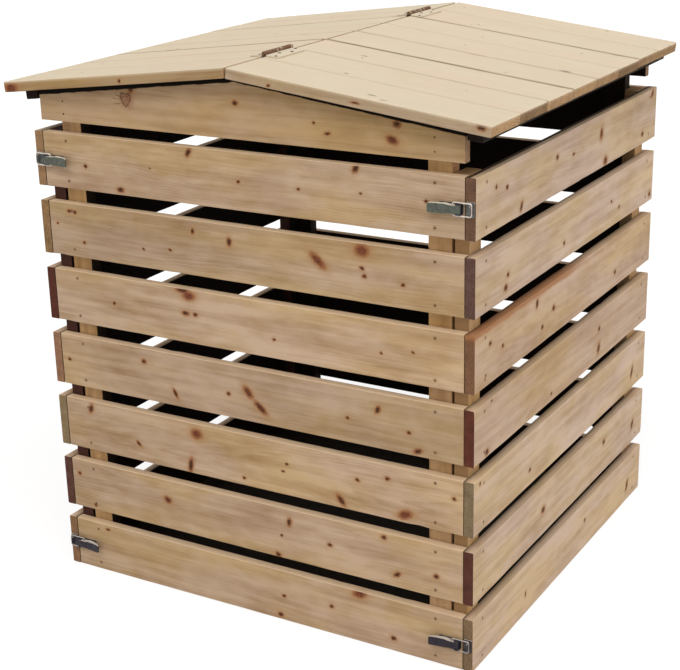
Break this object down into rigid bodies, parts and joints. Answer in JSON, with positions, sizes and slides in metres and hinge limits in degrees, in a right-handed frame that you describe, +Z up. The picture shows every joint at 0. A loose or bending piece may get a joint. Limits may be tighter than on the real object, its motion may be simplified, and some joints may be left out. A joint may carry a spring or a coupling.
{
  "type": "compost bin with lid",
  "caption": "Slatted softwood compost bin with an open base, a low gabled roof whose one half is a hinged lid, and a front wall that lifts away once its toggle latches are released.",
  "frame": {"origin": "on the ground, under the centre of the whole bin", "axes": "+X to the right seen from the front, +Y to the back, +Z up"},
  "size_m": [0.944, 0.858, 1.0137],
  "materials": {
    "end_timber": "planed softwood, knotty, uncoated",
    "side_timber": "planed softwood, knotty, uncoated",
    "batten_timber": "sawn softwood",
    "roof_timber": "planed softwood boards, pale",
    "hinge_steel": "plated steel, dull",
    "zinc_plate": "bright zinc plated steel",
    "loop_wire": "bright zinc plated wire"
  },
  "bodies": {
    "bin": {"left_slat_1": "side_timber", "right_slat_1": "side_timber", "back_slat_1": "end_timber", "left_slat_2": "side_timber", "right_slat_2": "side_timber", "back_slat_2": "end_timber", "left_slat_3": "side_timber", "right_slat_3": "side_timber", "back_slat_3": "end_timber", "left_slat_4": "side_timber", "right_slat_4": "side_timber", "back_slat_4": "end_timber", "left_slat_5": "side_timber", "right_slat_5": "side_timber", "back_slat_5": "end_timber", "left_slat_6": "side_timber", "right_slat_6": "side_timber", "back_slat_6": "end_timber", "left_slat_7": "side_timber", "right_slat_7": "side_timber", "back_slat_7": "end_timber", "left_batten_front": "batten_timber", "left_batten_back": "batten_timber", "right_batten_front": "batten_timber", "right_batten_back": "batten_timber", "back_gable": "end_timber", "back_batten_left": "batten_timber", "back_batten_right": "batten_timber", "roof_half_fixed": "roof_timber", "hinge_front_fixed_leaf": "hinge_steel", "hinge_back_fixed_leaf": "hinge_steel", "latch_top_left_strike": "zinc_plate", "latch_top_right_strike": "zinc_plate", "latch_bottom_left_strike": "zinc_plate", "latch_bottom_right_strike": "zinc_plate"},
    "front_panel": {"front_slat_1": "end_timber", "front_slat_2": "end_timber", "front_slat_3": "end_timber", "front_slat_4": "end_timber", "front_slat_5": "end_timber", "front_slat_6": "end_timber", "front_slat_7": "end_timber", "front_gable": "end_timber", "front_batten_left": "batten_timber", "front_batten_right": "batten_timber", "latch_top_left_base": "zinc_plate", "latch_top_right_base": "zinc_plate", "latch_bottom_left_base": "zinc_plate", "latch_bottom_right_base": "zinc_plate"},
    "lid": {"roof_half_lid": "roof_timber", "hinge_front_lid_leaf": "hinge_steel", "hinge_back_lid_leaf": "hinge_steel"},
    "lever_top_left": {"latch_top_left_lever": "zinc_plate"},
    "loop_top_left": {"latch_top_left_loop": "loop_wire"},
    "lever_top_right": {"latch_top_right_lever": "zinc_plate"},
    "loop_top_right": {"latch_top_right_loop": "loop_wire"},
    "lever_bottom_left": {"latch_bottom_left_lever": "zinc_plate"},
    "loop_bottom_left": {"latch_bottom_left_loop": "loop_wire"},
    "lever_bottom_right": {"latch_bottom_right_lever": "zinc_plate"},
    "loop_bottom_right": {"latch_bottom_right_loop": "loop_wire"}
  },
  "joints": [
    {"name": "front_panel_pull", "type": "slide", "parent": "bin", "child": "front_panel", "axis": [0, -1, 0], "range_m": [0, 0.3]},
    {"name": "lid_hinge", "type": "hinge", "parent": "bin", "child": "lid", "pos_m": [0, 0.014, 1.01026], "axis": [0, -1, 0], "range_deg": [0, 192]},
    {"name": "lever_top_left_pivot", "type": "hinge", "parent": "front_panel", "child": "lever_top_left", "pos_m": [-0.407, -0.4075, 0.812], "axis": [0, 0, -1], "range_deg": [0, 150]},
    {"name": "loop_top_left_pivot", "type": "hinge", "parent": "lever_top_left", "child": "loop_top_left", "pos_m": [-0.397, -0.4067, 0.812], "axis": [0, 0, -1], "range_deg": [-157.5, 0]},
    {"name": "lever_top_right_pivot", "type": "hinge", "parent": "front_panel", "child": "lever_top_right", "pos_m": [0.407, -0.4075, 0.812], "axis": [0, 0, 1], "range_deg": [0, 150]},
    {"name": "loop_top_right_pivot", "type": "hinge", "parent": "lever_top_right", "child": "loop_top_right", "pos_m": [0.397, -0.4067, 0.812], "axis": [0, 0, 1], "range_deg": [-157.5, 0]},
    {"name": "lever_bottom_left_pivot", "type": "hinge", "parent": "front_panel", "child": "lever_bottom_left", "pos_m": [-0.407, -0.4075, 0.05], "axis": [0, 0, -1], "range_deg": [0, 150]},
    {"name": "loop_bottom_left_pivot", "type": "hinge", "parent": "lever_bottom_left", "child": "loop_bottom_left", "pos_m": [-0.397, -0.4067, 0.05], "axis": [0, 0, -1], "range_deg": [-157.5, 0]},
    {"name": "lever_bottom_right_pivot", "type": "hinge", "parent": "front_panel", "child": "lever_bottom_right", "pos_m": [0.407, -0.4075, 0.05], "axis": [0, 0, 1], "range_deg": [0, 150]},
    {"name": "loop_bottom_right_pivot", "type": "hinge", "parent": "lever_bottom_right", "child": "loop_bottom_right", "pos_m": [0.397, -0.4067, 0.05], "axis": [0, 0, 1], "range_deg": [-157.5, 0]}
  ],
  "couplings": [
    {"joint": "loop_top_left_pivot", "follows": "lever_top_left_pivot", "ratio": -1.05},
    {"joint": "loop_top_right_pivot", "follows": "lever_top_right_pivot", "ratio": -1.05},
    {"joint": "loop_bottom_left_pivot", "follows": "lever_bottom_left_pivot", "ratio": -1.05},
    {"joint": "loop_bottom_right_pivot", "follows": "lever_bottom_right_pivot", "ratio": -1.05}
  ]
}
